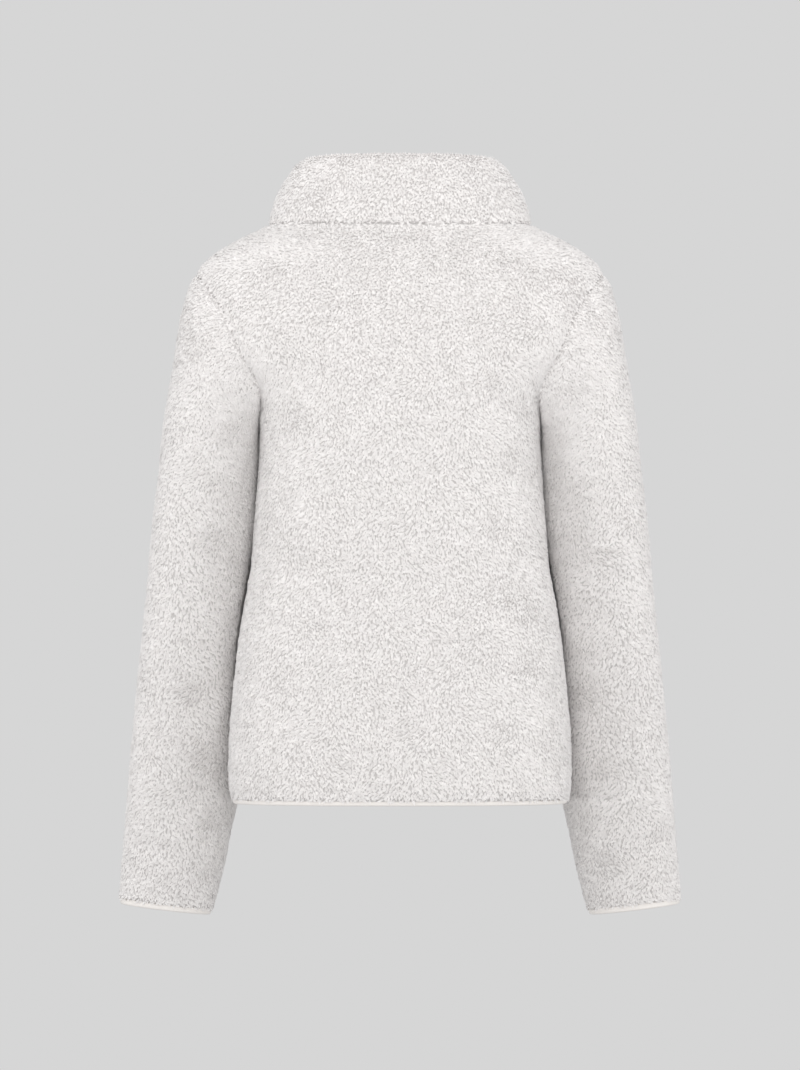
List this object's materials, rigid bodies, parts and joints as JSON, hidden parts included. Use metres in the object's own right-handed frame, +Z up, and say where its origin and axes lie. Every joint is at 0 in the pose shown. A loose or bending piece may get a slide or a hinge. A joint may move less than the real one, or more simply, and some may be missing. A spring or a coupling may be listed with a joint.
{
  "type": "fleece jacket",
  "caption": "Zip-up teddy-fleece jacket with a funnel collar, set-in sleeves and narrow stretch bindings, hollow and filled out as if worn.",
  "frame": {"origin": "between the shoulders, level with the sides of the neck seam, where the wearer holds it up", "axes": "+X towards the wearer's right, +Y towards the wearer's front, +Z up"},
  "size_m": [0.5692, 0.259, 0.7615],
  "materials": {
    "teddy_fleece": "deep curly pile, off-white",
    "stretch_binding": "smooth fine stretch knit, cream",
    "zip_tape": "woven tape, cream",
    "zip_metal": "nickel finish"
  },
  "bodies": {
    "jacket": {"back": "teddy_fleece", "front_right": "teddy_fleece", "front_left": "teddy_fleece", "sleeve_right": "teddy_fleece", "sleeve_left": "teddy_fleece", "collar": "teddy_fleece", "hem_binding": "stretch_binding", "cuff_binding_right": "stretch_binding", "cuff_binding_left": "stretch_binding", "zip_tape_right": "zip_tape", "zip_tape_left": "zip_tape", "zip_slider": "zip_metal"},
    "pull_tab": {"zip_pull_tab": "zip_metal"}
  },
  "joints": [
    {"name": "pull_tab_lift", "type": "hinge", "parent": "jacket", "child": "pull_tab", "pos_m": [0, 0.07279, -0.00035], "axis": [1, 0, 0], "range_deg": [0, 165]}
  ]
}
